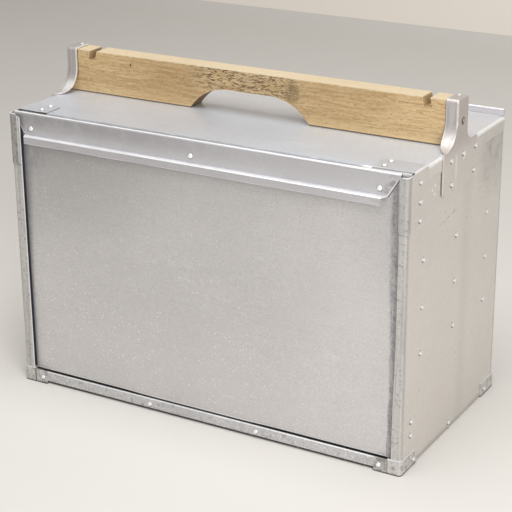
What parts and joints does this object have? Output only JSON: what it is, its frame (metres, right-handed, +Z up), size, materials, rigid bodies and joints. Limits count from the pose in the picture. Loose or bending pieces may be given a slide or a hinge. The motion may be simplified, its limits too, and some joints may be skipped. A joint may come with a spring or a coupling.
{
  "type": "carrying box",
  "caption": "Riveted aluminium carrying box with a lift-out front panel, shelf rails inside and a wooden carrying bar held by pressed brackets.",
  "frame": {"origin": "bottom centre of the box, on the surface that its corner caps stand on", "axes": "+X along the length to the right seen from the front, +Y to the rear, +Z up; the door is on the -Y face"},
  "size_m": [0.4788, 0.2468, 0.365],
  "materials": {
    "case_sheet": "worn satin",
    "door_sheet": "worn satin",
    "bright_sheet": "rubbed bright",
    "rivet": "rubbed bright",
    "bar_wood": "bare, weathered",
    "steel": "dull"
  },
  "bodies": {
    "case": {"left_side_panel": "case_sheet", "right_side_panel": "case_sheet", "rear_panel": "case_sheet", "top_panel": "case_sheet", "floor_panel": "case_sheet", "bottom_rail": "case_sheet", "left_door_guide": "case_sheet", "right_door_guide": "case_sheet", "left_corner_sleeve": "case_sheet", "right_corner_sleeve": "case_sheet", "front_left_cap": "case_sheet", "front_right_cap": "case_sheet", "rear_left_cap": "case_sheet", "rear_right_cap": "case_sheet", "left_bracket": "bright_sheet", "right_bracket": "bright_sheet", "carrying_bar": "bar_wood", "bar_screws": "steel", "bar_nails": "steel", "left_upper_ledge": "case_sheet", "left_middle_ledge": "case_sheet", "left_lower_ledge": "case_sheet", "right_upper_ledge": "case_sheet", "right_middle_ledge": "case_sheet", "right_lower_ledge": "case_sheet", "upper_shelf": "case_sheet", "lower_shelf": "case_sheet", "left_ledge_rivets": "rivet", "right_ledge_rivets": "rivet", "left_bracket_rivets": "rivet", "right_bracket_rivets": "rivet", "left_sleeve_rivets": "rivet", "right_sleeve_rivets": "rivet", "left_guide_rivets": "rivet", "right_guide_rivets": "rivet", "cap_rivets": "rivet", "floor_rivets": "rivet", "rear_seam_rivets": "rivet"},
    "door": {"door_panel": "door_sheet", "grip_strip": "bright_sheet", "grip_rivets": "rivet"}
  },
  "joints": [
    {"name": "door_lift", "type": "slide", "parent": "case", "child": "door", "axis": [0, 0, 1], "range_m": [0, 0.305]}
  ]
}
